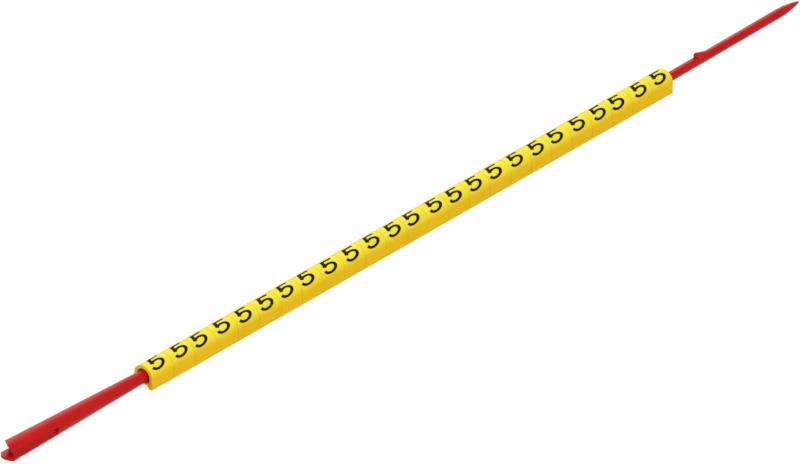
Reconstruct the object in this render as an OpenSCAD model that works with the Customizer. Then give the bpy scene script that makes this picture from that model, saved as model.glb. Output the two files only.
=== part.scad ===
// Strip of slide-on cable markers threaded on a carrier stick, in millimetres.
// The row lies along X with its feet on Z = 0. The wire end of the stick is at -X, its needle at +X.

/* [Marker row] */
// Number of markers on the stick
marker_count = 25; // [2:1:30]
// Length of one marker along the stick
marker_length = 2.97; // [2:0.02:6]
// Gap between neighbouring markers in the pressed row
marker_gap = 0.03; // [0.02:0.01:0.3]

/* [Marker section] */
// Width of the marker, which is also the diameter of its arched top
marker_w = 2.24; // [2.1:0.02:4]
// Height of the marker from its feet to the top of the arch
marker_h = 2.3; // [2.24:0.02:4]
// Thickness of the arch and the side walls
marker_wall = 0.33; // [0.2:0.01:0.36]
// Height of the inward fold under the marker
fold_h = 0.34; // [0.2:0.01:0.4]
// Thickness of the folded web
fold_web = 0.14; // [0.1:0.01:0.2]
// Width of one foot where it stands on the table
foot_w = 0.32; // [0.24:0.01:0.4]
// Width of the flat crest of the fold
fold_crest = 0.84; // [0.5:0.02:1]
// Rounding of the outer edge of each foot
foot_r = 0.1; // [0.05:0.01:0.2]

/* [Stick] */
// Diameter of the shank where it enters the row at the wire end
shank_d = 1.26; // [0.9:0.02:1.3]
// Diameter of the slim needle where it leaves the row
needle_d = 0.96; // [0.6:0.02:1]
// Play between the shank and the crest of the fold below it
shank_play = 0.06; // [0.03:0.01:0.1]
// Free length of the needle from the row to its point
needle_free = 20.4; // [14:0.2:40]
// Rise of the needle from the row to its point
needle_rise = 0.2; // [0:0.01:0.3]
// Length of the rounded point
point_length = 3; // [1.5:0.1:5]
// Diameter of the blunt end of the point
point_d = 0.2; // [0.1:0.02:0.4]

/* [Barb] */
// Distance from the row to the rounded nose of the barb
barb_gap = 4.6; // [1:0.1:8]
// Length of the barb along the needle
barb_length = 2; // [1.4:0.1:4]
// Height of the barb above the needle
barb_h = 0.46; // [0.3:0.02:0.6]
// Thickness of the rounded barb across the stick
barb_w = 0.68; // [0.4:0.02:0.8]

/* [Wire end] */
// Length of the stick from the row to the closed end of the wire grooves
neck_length = 12.6; // [8:0.1:30]
// Length of the wire grooves from their closed end to the tip of the tongue
groove_length = 6.4; // [5:0.1:12]
// Diameter of the tapered stick at the tip of the tongue
end_d = 2.14; // [2.04:0.02:2.3]
// Rise of the stick's axis from the row to the tip of the tongue
end_rise = 0.18; // [0:0.01:0.3]
// Radius of the round groove along each side that takes a wire end
groove_r = 0.45; // [0.42:0.01:0.5]
// Distance of the middle of each groove from the stick's axis
groove_out = 1.12; // [1.08:0.01:1.16]
// Angle by which each groove lies above the side of the stick
groove_up = -2; // [-8:1:10]
// Depth of the flat top of the tongue below the stick's axis
ledge = 0.28; // [0.2:0.01:0.36]
// Distance from the tip of the tongue back to the end of the upper part, at the stick's axis
upper_back = 0.9; // [0.9:0.05:2]
// Slant of that end, which leaves its far side the shorter one
upper_slant = 28; // [0:1:28]
// Undercut of that end
upper_undercut = 30; // [0:1:30]
// Length of the tongue from the full width of the stick to its tip
tongue_length = 1.8; // [1.2:0.1:3]
// Width of the tongue, which has a full round end
tongue_w = 1.84; // [1.4:0.02:1.9]
// Thickness of the tongue at its tip
tip_h = 0.28; // [0.16:0.01:0.4]
// Length of the bevel under the tongue that thins it towards its tip
bevel_length = 2.2; // [1.5:0.1:4]

/* [Hidden] */
$fn = 96;

// Overlap that makes sure cuts pass right through and lengths of the stick run into each other
eps = 0.5;
// Small step by which one length of the stick stays inside the next at such an overlap
joint_step = 0.02;

// Places along the stick, measured so that the middle of the whole length is X = 0
pitch = marker_length + marker_gap;
row_length = marker_count * pitch - marker_gap;
end_free = neck_length + groove_length;
row_start = end_free - (end_free + row_length + needle_free) / 2;
row_end = row_start + row_length;

// Section of a marker
arch_r = marker_w / 2;
arch_z = marker_h - arch_r;
hole_r = arch_r - marker_wall;
crest_z = fold_h + fold_web;
fold_foot = arch_r - foot_w;
fold_lean = atan2(fold_h, fold_foot - fold_crest / 2);

// Section of the stick
shank_r = shank_d / 2;
needle_r = needle_d / 2;
barb_r = barb_w / 2;
point_nose = point_d / 2;
shank_z = crest_z + shank_play + shank_r;
needle_z = crest_z + shank_play + needle_r + joint_step;
point_drop = needle_r - point_nose;
point_r = (point_drop * point_drop + point_length * point_length) / (2 * point_drop);
needle_tilt = atan2(needle_rise, needle_free);

// Taper and lean of the stick at the wire end, along its own axis from the row
end_r = end_d / 2;
end_tilt = atan2(end_rise, end_free);
end_grow = (end_r - shank_r) / end_free;

function marker_name(i) = str("marker_", i < 10 ? "0" : "", i);

// A round bar between two points of the middle plane, with its own radius at each end
module rod(x1, z1, r1, x2, z2, r2) {
    run = x2 - x1;
    rise = z2 - z1;
    translate([x1, 0, z1])
        rotate([0, atan2(run, rise), 0])
            cylinder(h = sqrt(run * run + rise * rise), r1 = r1, r2 = r2);
}

// Outline of the inward fold, grown by the thickness of its web
module fold_outline(web) {
    shift = web * tan(fold_lean / 2);
    reach = (fold_h + web) / tan(fold_lean);
    polygon([
        [-fold_crest / 2 - shift - reach - eps / tan(fold_lean), -eps],
        [-fold_crest / 2 - shift, fold_h + web],
        [fold_crest / 2 + shift, fold_h + web],
        [fold_crest / 2 + shift + reach + eps / tan(fold_lean), -eps]
    ]);
}

// Section of a marker: arched tube with rounded feet, closed below by the inward fold
module marker_section() {
    difference() {
        union() {
            translate([0, arch_z])
                circle(r = arch_r);
            translate([-arch_r, foot_r])
                square([marker_w, arch_z - foot_r]);
            translate([-arch_r + foot_r, 0])
                square([marker_w - 2 * foot_r, arch_z]);
            for (side = [-1, 1])
                translate([side * (arch_r - foot_r), foot_r])
                    circle(r = foot_r);
        }
        fold_outline(0);
        difference() {
            union() {
                translate([0, arch_z])
                    circle(r = hole_r);
                translate([-hole_r, 0])
                    square([2 * hole_r, arch_z]);
            }
            fold_outline(fold_web);
        }
    }
}

// One marker, the first at the wire end of the row
module marker(i) {
    color("gold")
        translate([row_start + (i - 1) * pitch, 0, 0])
            rotate([90, 0, 90])
                linear_extrude(marker_length)
                    marker_section();
}

// Barb on top of the needle: a round bar with a ball nose that sinks into the needle
module barb() {
    nose_x = barb_gap + barb_r;
    nose_z = needle_r + barb_h - barb_r;
    tail_x = barb_gap + barb_length;
    translate([nose_x, 0, nose_z])
        sphere(r = barb_r);
    rod(nose_x, nose_z, barb_r - joint_step, tail_x, needle_r - barb_r, barb_r - joint_step);
}

// Ogive point with a blunt end, at the end of the needle
module point() {
    translate([needle_free - point_length, 0, 0])
        rotate([0, 90, 0])
            rotate_extrude()
                intersection() {
                    translate([needle_r - point_r, 0])
                        circle(r = point_r, $fn = 360);
                    square([needle_r, point_length]);
                }
}

// Free needle with its barb and point, rising a little away from the row
module needle() {
    translate([row_end, 0, needle_z])
        rotate([0, -needle_tilt, 0]) {
            translate([-eps, 0, 0])
                rotate([0, 90, 0])
                    cylinder(h = needle_free - point_length + eps, r = needle_r);
            barb();
            point();
        }
}

// Plan of the stick below the ledge: full width, then a tongue with a full round end
module tongue_plan() {
    translate([-end_free + tongue_length, -end_d])
        square([end_free - tongue_length + 2 * eps, 2 * end_d]);
    translate([-end_free + tongue_w / 2, -tongue_w / 2])
        square([tongue_length, tongue_w]);
    translate([-end_free + tongue_w / 2, 0])
        circle(d = tongue_w);
}

// The room above the tongue, in front of the slanted and undercut end of the upper part
module mouth() {
    wide = 4 * end_d;
    intersection() {
        translate([-end_free - wide / 2, -wide / 2, -ledge])
            cube([wide, wide, wide]);
        translate([-end_free + upper_back, 0, 0])
            rotate([0, -upper_undercut, 0])
                rotate([0, 0, -upper_slant])
                    translate([-wide, -wide, -wide])
                        cube([wide, 2 * wide, 2 * wide]);
    }
}

// Everything below the bevel that thins the tongue from underneath
module bevel() {
    slope = (end_r - ledge - tip_h) / bevel_length;
    translate([0, end_d, 0])
        rotate([90, 0, 0])
            linear_extrude(2 * end_d)
                polygon([
                    [-end_free - eps, -end_d],
                    [-end_free - eps, -ledge - tip_h + slope * eps],
                    [-end_free + bevel_length, -end_r],
                    [-end_free + bevel_length, -end_d]
                ]);
}

// The round wire groove along each side, closed towards the row
module grooves() {
    level = groove_out * sin(groove_up);
    for (side = [-1, 1])
        translate([0, side * groove_out * cos(groove_up), 0])
            rod(-end_free - eps, level, groove_r, -neck_length, level, groove_r);
}

// Tapered stick beside the row with its wire end, made along its own axis, then tilted
module wire_end() {
    translate([row_start, 0, shank_z])
        rotate([0, end_tilt, 0])
            difference() {
                intersection() {
                    rod(eps, 0, shank_r - end_grow * eps - joint_step, -end_free, 0, end_r);
                    union() {
                        translate([0, 0, -end_d])
                            linear_extrude(end_d)
                                tongue_plan();
                        translate([-end_free - eps, -end_d, -ledge])
                            cube([end_free + 3 * eps, 2 * end_d, 2 * end_d]);
                    }
                }
                mouth();
                grooves();
                bevel();
            }
}

// The whole moulded stick
module carrier_stick() {
    color("firebrick") {
        wire_end();
        rod(row_start, shank_z, shank_r, row_end, needle_z, needle_r + joint_step);
        needle();
    }
}

carrier_stick();
for (i = [1:marker_count])
    marker(i);
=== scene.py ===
import math
import random

import bmesh
import bpy
from mathutils import Matrix, Vector
from mathutils.geometry import delaunay_2d_cdt


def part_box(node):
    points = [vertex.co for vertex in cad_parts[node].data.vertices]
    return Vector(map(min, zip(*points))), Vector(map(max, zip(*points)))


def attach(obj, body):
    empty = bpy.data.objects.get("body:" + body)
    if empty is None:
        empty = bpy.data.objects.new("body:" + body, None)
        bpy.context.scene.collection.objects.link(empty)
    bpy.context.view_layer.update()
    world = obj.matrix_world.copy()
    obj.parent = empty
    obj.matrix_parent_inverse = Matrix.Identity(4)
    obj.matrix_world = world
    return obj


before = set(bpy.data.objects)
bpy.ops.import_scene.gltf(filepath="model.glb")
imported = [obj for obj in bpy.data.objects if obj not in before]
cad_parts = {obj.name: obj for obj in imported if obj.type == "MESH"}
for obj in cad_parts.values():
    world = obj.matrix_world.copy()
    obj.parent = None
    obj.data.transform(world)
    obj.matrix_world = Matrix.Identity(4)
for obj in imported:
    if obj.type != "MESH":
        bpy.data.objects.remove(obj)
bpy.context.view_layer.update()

# The carrier stick is one red moulded rod: side grooves and a tongue for a wire at one end, a round
# shank inside the row, then a barb and a pointed needle. It is glossy thermoplastic, moulded in one
# shot, so its skin shows faint flow lines along the rod and a slightly uneven gloss.


def node(tree, kind, **inputs):
    """A shader node with its inputs set, where an underscore in a name stands for a space."""
    made = tree.nodes.new(kind)
    for key, value in inputs.items():
        made.inputs[key.replace("_", " ")].default_value = value
    return made


def plastic(name):
    """A new material, with its node tree and its shader."""
    made = bpy.data.materials.new(name)
    made.use_nodes = True
    return made, made.node_tree, made.node_tree.nodes["Principled BSDF"]


def stretched_noise(tree, along, across, detail):
    """Noise whose grains run along the part, in grains per metre along it and across it."""
    place = tree.nodes.new("ShaderNodeTexCoord")
    stretch = node(tree, "ShaderNodeMapping", Scale=(along, across, across))
    grain = node(tree, "ShaderNodeTexNoise", Scale=1.0, Detail=detail, Roughness=0.55)
    tree.links.new(place.outputs["Object"], stretch.inputs["Vector"])
    tree.links.new(stretch.outputs["Vector"], grain.inputs["Vector"])
    return grain.outputs["Fac"]


def two_tones(tree, noise, low, high):
    """Colour that runs from one (noise level, red, green, blue) to another."""
    made = tree.nodes.new("ShaderNodeValToRGB")
    for element, (level, *colour) in zip(made.color_ramp.elements, (low, high)):
        element.position = level
        element.color = (*colour, 1)
    tree.links.new(noise, made.inputs["Fac"])
    return made.outputs["Color"]


def spread(tree, noise, low, high):
    """Noise, which mostly lies between 0.3 and 0.7, spread between two levels."""
    made = node(tree, "ShaderNodeMapRange", From_Min=0.3, From_Max=0.7, To_Min=low, To_Max=high)
    tree.links.new(noise, made.inputs["Value"])
    return made.outputs["Result"]


def bumped(tree, shader, height, depth, strength):
    """Relief of that depth in metres on a shader's normal."""
    relief = node(tree, "ShaderNodeBump", Distance=depth, Strength=strength)
    tree.links.new(height, relief.inputs["Height"])
    tree.links.new(relief.outputs["Normal"], shader.inputs["Normal"])


def dress(piece, material):
    """Gives a piece that one material."""
    piece.data.materials.clear()
    piece.data.materials.append(material)


moulded_red, tree, shader = plastic("moulded_red")
flow = stretched_noise(tree, along=260.0, across=2600.0, detail=4.0)
clouds = stretched_noise(tree, along=700.0, across=900.0, detail=3.0)
red = two_tones(tree, clouds, low=(0.30, 0.48, 0.003, 0.002), high=(0.70, 0.57, 0.007, 0.004))
tree.links.new(red, shader.inputs["Base Color"])
tree.links.new(spread(tree, flow, low=0.24, high=0.36), shader.inputs["Roughness"])
shader.inputs["IOR"].default_value = 1.5
shader.inputs["Specular IOR Level"].default_value = 0.13
bumped(tree, shader, flow, depth=0.00001, strength=0.35)

dress(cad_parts["carrier_stick"], moulded_red)

# The markers are short lengths of soft yellow PVC profile, cut square and pushed side by side
# on the stick: a round arch over straight walls, with a folded foot that lets it stretch over
# a wire. The skin is satin, with faint draw lines along the extrusion. Painted shade makes the walls
# a deeper golden yellow, and painted light makes the crown a paler lemon yellow.

mm = 0.001
# Heights where the painted shade of the walls gives way to the painted light of the crown.
wall_shade_top_z = 1.3 * mm
crown_light_from_z = 1.95 * mm

marker_names = sorted(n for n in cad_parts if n.startswith("marker_"))
marker_low, marker_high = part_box(marker_names[0])
arch_r = (marker_high[1] - marker_low[1]) / 2
arch_z = marker_high[2] - arch_r

soft_yellow, tree, shader = plastic("soft_yellow")
draw_lines = stretched_noise(tree, along=120.0, across=5200.0, detail=3.0)
clouds = stretched_noise(tree, along=620.0, across=620.0, detail=4.0)
place = tree.nodes.new("ShaderNodeTexCoord")
height = tree.nodes.new("ShaderNodeSeparateXYZ")
tree.links.new(place.outputs["Object"], height.inputs["Vector"])
# Painted light and shade: the base colour blends by height from a shaded golden yellow on the walls to a
# lit lemon yellow on the crown.
level = node(tree, "ShaderNodeMapRange", From_Min=wall_shade_top_z, From_Max=crown_light_from_z)
tree.links.new(height.outputs["Z"], level.inputs["Value"])
shaded_golden = two_tones(tree, clouds, low=(0.25, 0.92, 0.565, 0.005), high=(0.75, 0.96, 0.615, 0.008))
lit_lemon = two_tones(tree, clouds, low=(0.25, 0.88, 0.745, 0.030), high=(0.75, 0.93, 0.805, 0.046))
mix_share, mix_below, mix_above, mix_colour = 0, 6, 7, 2
painted_shade_mix = tree.nodes.new("ShaderNodeMix")
painted_shade_mix.data_type = "RGBA"
tree.links.new(level.outputs["Result"], painted_shade_mix.inputs[mix_share])
tree.links.new(shaded_golden, painted_shade_mix.inputs[mix_below])
tree.links.new(lit_lemon, painted_shade_mix.inputs[mix_above])
tree.links.new(painted_shade_mix.outputs[mix_colour], shader.inputs["Base Color"])
tree.links.new(spread(tree, clouds, low=0.42, high=0.56), shader.inputs["Roughness"])
shader.inputs["IOR"].default_value = 1.48
shader.inputs["Specular IOR Level"].default_value = 0.10
bumped(tree, shader, draw_lines, depth=0.000012, strength=0.3)

for name in marker_names:
    dress(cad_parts[name], soft_yellow)

# Each marker carries one printed numeral, hot-stamped in black across the crown: a plain 5 that
# leans a little, read along the row with its top to the far side. The ink is a thin matt film,
# placed a little differently on each marker, as the stamp never lands twice on the same spot.

# The numeral is drawn flat, in millimetres from the middle of the crown: u runs along the row and
# v around the arch to the far side.
nib_u = 0.40
nib_v = 0.235
bar_v = 0.20
bar_right_u = 0.79
corner_u = -0.345
bar_tuck = 0.02
stem_foot = (-0.655, -0.56)
bowl_centre = (-0.13, -0.735)
bowl_half_w = 0.75
bowl_half_h = 0.435
bowl_lean = 0.34
bowl_from = 130
bowl_to = -162
bowl_steps = 40
grain = 0.06
ink_proud = 0.013
ink_sunk = 0.012

# The stamp's wander: the range of its slips and its turn, and the push to the far side that fades
# along the first markers.
slip_back = -0.20
slip_on = 0.14
slip_around = 0.07
first_push = 0.14
push_fade = 1.5
turn_degrees = 2.5


def divided(points):
    """The same line with points no further apart than the print's grain."""
    out = [points[0]]
    for a, b in zip(points, points[1:]):
        steps = max(1, math.ceil((b - a).length / grain))
        out += [a.lerp(b, (s + 1) / steps) for s in range(steps)]
    return out


def pen_stroke(points):
    """The outline of a stroke along a line of points, with a nib wider along the row than across it."""
    left, right = [], []
    for i, point in enumerate(points):
        along = points[min(i + 1, len(points) - 1)] - points[max(i - 1, 0)]
        across = Vector((-along.y, along.x)).normalized()
        reach = math.hypot(nib_u * across.x, nib_v * across.y) / 2
        left.append(point + across * reach)
        right.append(point - across * reach)
    return left + right[::-1]


def bowl_point(step):
    """A point of the round bowl, which leans with the numeral."""
    turn = math.radians(bowl_from + (bowl_to - bowl_from) * step / bowl_steps)
    rise = bowl_half_h * math.sin(turn)
    run = bowl_half_w * math.cos(turn) + bowl_lean * rise
    return Vector((bowl_centre[0] + run, bowl_centre[1] + rise))


bar = [Vector((bar_right_u, bar_v)), Vector((corner_u - bar_tuck, bar_v))]
stem = [Vector((corner_u, bar_v + nib_v / 2)), Vector(stem_foot)]
bowl = [bowl_point(step) for step in range(bowl_steps + 1)]
middle_lines = [divided(bar), divided(stem), bowl]
outlines = [pen_stroke(line) for line in middle_lines]
corners = [p for line in outlines + middle_lines for p in line]
loops = []
first = 0
for outline in outlines:
    loops.append(list(range(first, first + len(outline))))
    first += len(outline)
inside_only = 1
weld = 1e-6
filled = delaunay_2d_cdt(corners, [], loops, inside_only, weld)
numeral_points, numeral_faces = filled[0], filled[2]

stamp_ink, tree, shader = plastic("stamp_ink")
mottle = stretched_noise(tree, along=5200.0, across=5200.0, detail=3.0)
black = two_tones(tree, mottle, low=(0.35, 0.006, 0.004, 0.001), high=(0.72, 0.020, 0.014, 0.002))
tree.links.new(black, shader.inputs["Base Color"])
tree.links.new(spread(tree, mottle, low=0.50, high=0.66), shader.inputs["Roughness"])
shader.inputs["Specular IOR Level"].default_value = 0.05
bumped(tree, shader, mottle, depth=0.000008, strength=0.3)


def on_arch(point, lift, middle, slip, turn):
    """A point of the flat numeral, turned, slipped and laid on a marker's arch, lifted off its skin."""
    u = point.x * math.cos(turn) - point.y * math.sin(turn) + slip[0]
    v = point.x * math.sin(turn) + point.y * math.cos(turn) + slip[1]
    around = v * mm / arch_r
    r = arch_r + lift * mm
    return Vector((middle + u * mm, r * math.sin(around), arch_z + r * math.cos(around)))


def numeral_film(name, middle, slip, turn):
    """A closed film of ink in the shape of the numeral, sunk a little into the marker's skin."""
    mesh = bmesh.new()
    top = [mesh.verts.new(on_arch(p, ink_proud, middle, slip, turn)) for p in numeral_points]
    under = [mesh.verts.new(on_arch(p, -ink_sunk, middle, slip, turn)) for p in numeral_points]
    edges = {}
    for face in numeral_faces:
        mesh.faces.new([top[i] for i in face])
        mesh.faces.new([under[i] for i in reversed(face)])
        edges.update(dict.fromkeys(zip(face, face[1:] + face[:1])))
    for i, j in edges:
        if (j, i) not in edges:
            mesh.faces.new([top[j], top[i], under[i], under[j]])
    bmesh.ops.recalc_face_normals(mesh, faces=mesh.faces)
    data = bpy.data.meshes.new(name)
    mesh.to_mesh(data)
    mesh.free()
    return data


scene = bpy.context.scene
placing = random.Random(5)
for index, name in enumerate(marker_names):
    low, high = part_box(name)
    slip_u = placing.uniform(slip_back, slip_on)
    slip_v = placing.uniform(-slip_around, slip_around) + first_push * math.exp(-index / push_fade)
    turn = math.radians(placing.uniform(-turn_degrees, turn_degrees))
    print_name = "print_" + name[-2:]
    film = numeral_film(print_name, (low[0] + high[0]) / 2, (slip_u, slip_v), turn)
    film.materials.append(stamp_ink)
    print_piece = bpy.data.objects.new(print_name, film)
    scene.collection.objects.link(print_piece)
    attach(print_piece, name)

# The table is a plain white board that runs far past the view, with white all round it.
# It shows white to the eye and keeps the soft shadow under the strip.

board_half = 6.0
board_drop = 0.02 * mm
board_grey = (0.62, 0.62, 0.62, 1)
shadow_grey = (0.10, 0.10, 0.10, 1)
white = (1, 1, 1, 1)

mesh = bmesh.new()
board_corners = [(-1, -1), (1, -1), (1, 1), (-1, 1)]
mesh.faces.new([mesh.verts.new((x * board_half, y * board_half, -board_drop)) for x, y in board_corners])
data = bpy.data.meshes.new("table_board")
mesh.to_mesh(data)
mesh.free()
board = bpy.data.objects.new("table_board", data)
scene.collection.objects.link(board)


def seen_rays(tree):
    """1 for rays from the eye, from a gloss or through a clear piece, and 0 for other light."""
    path = tree.nodes.new("ShaderNodeLightPath")
    first_two = tree.nodes.new("ShaderNodeMath")
    first_two.operation = "MAXIMUM"
    tree.links.new(path.outputs["Is Camera Ray"], first_two.inputs[0])
    tree.links.new(path.outputs["Is Glossy Ray"], first_two.inputs[1])
    all_three = tree.nodes.new("ShaderNodeMath")
    all_three.operation = "MAXIMUM"
    tree.links.new(first_two.outputs["Value"], all_three.inputs[0])
    tree.links.new(path.outputs["Is Transmission Ray"], all_three.inputs[1])
    return all_three.outputs["Value"]


def lit_and_seen(tree, output_kind, lit, seen):
    """One shader for the light that falls on the strip and another for what is seen."""
    out = tree.nodes.new(output_kind)
    pick = tree.nodes.new("ShaderNodeMixShader")
    tree.links.new(seen_rays(tree), pick.inputs["Fac"])
    tree.links.new(lit.outputs[0], pick.inputs[1])
    tree.links.new(seen.outputs[0], pick.inputs[2])
    tree.links.new(pick.outputs[0], out.inputs["Surface"])


white_board = bpy.data.materials.new("white_board")
white_board.use_nodes = True
tree = white_board.node_tree
tree.nodes.clear()
plain_board = node(tree, "ShaderNodeBsdfDiffuse", Color=board_grey)
shade = node(tree, "ShaderNodeBsdfDiffuse", Color=shadow_grey)
glow = node(tree, "ShaderNodeEmission", Color=white, Strength=0.92)
seen_board = tree.nodes.new("ShaderNodeAddShader")
tree.links.new(shade.outputs[0], seen_board.inputs[0])
tree.links.new(glow.outputs[0], seen_board.inputs[1])
lit_and_seen(tree, "ShaderNodeOutputMaterial", plain_board, seen_board)
data.materials.append(white_board)

# The light is a white room with two large soft lamps. The main one stands overhead to the front left,
# so the crowns are brightest, and the other one stands behind to the right and draws a thin highlight
# along the top of the stick.

room = bpy.data.worlds.new("white_room")
scene.world = room
room.use_nodes = True
tree = room.node_tree
tree.nodes.clear()
ambient = node(tree, "ShaderNodeBackground", Color=white, Strength=0.52)
backdrop = node(tree, "ShaderNodeBackground", Color=white, Strength=1.0)
lit_and_seen(tree, "ShaderNodeOutputWorld", ambient, backdrop)


def softbox(name, width, depth, energy, way, distance):
    """A soft rectangular lamp that stands off in one direction and shines back at the strip."""
    lamp_data = bpy.data.lights.new(name, "AREA")
    lamp_data.shape = "RECTANGLE"
    lamp_data.size = width
    lamp_data.size_y = depth
    lamp_data.energy = energy
    lamp = bpy.data.objects.new(name, lamp_data)
    scene.collection.objects.link(lamp)
    stand_way = Vector(way).normalized()
    lamp.location = stand_way * distance
    lamp.rotation_euler = stand_way.to_track_quat("Z", "Y").to_euler()


softbox("overhead_softbox", width=0.7, depth=0.5, energy=3.8, way=(-0.34, -0.52, 0.78), distance=0.85)
softbox("back_softbox", width=0.9, depth=0.35, energy=3.2, way=(0.55, 0.62, 0.56), distance=0.95)

# The camera stands far off to the front left and looks down on the strip with a long lens, so
# the row runs up from the lower left corner to the upper right one with almost no perspective.

picture_w = 800
pixels_per_mm = 10.533
camera_turn = math.radians(48.778)
camera_down = math.radians(30.0)
camera_distance = 1127.85
aim = Vector((-0.765, 1.11, -0.055)) * mm

camera_data = bpy.data.cameras.new("photo_camera")
camera_data.sensor_width = 36.0
camera_data.lens = pixels_per_mm * camera_distance * camera_data.sensor_width / picture_w
camera_data.clip_start = 0.05
camera_data.clip_end = 50.0
camera = bpy.data.objects.new("photo_camera", camera_data)
scene.collection.objects.link(camera)
ahead = Vector((math.sin(camera_turn), math.cos(camera_turn), 0))
right = Vector((math.cos(camera_turn), -math.sin(camera_turn), 0))
upward = ahead * math.sin(camera_down) + Vector((0, 0, math.cos(camera_down)))
forward = ahead * math.cos(camera_down) - Vector((0, 0, math.sin(camera_down)))
stand = aim - forward * camera_distance * mm
camera.matrix_world = Matrix.Translation(stand) @ Matrix((right, upward, -forward)).transposed().to_4x4()
scene.camera = camera
scene.view_settings.view_transform = "Standard"
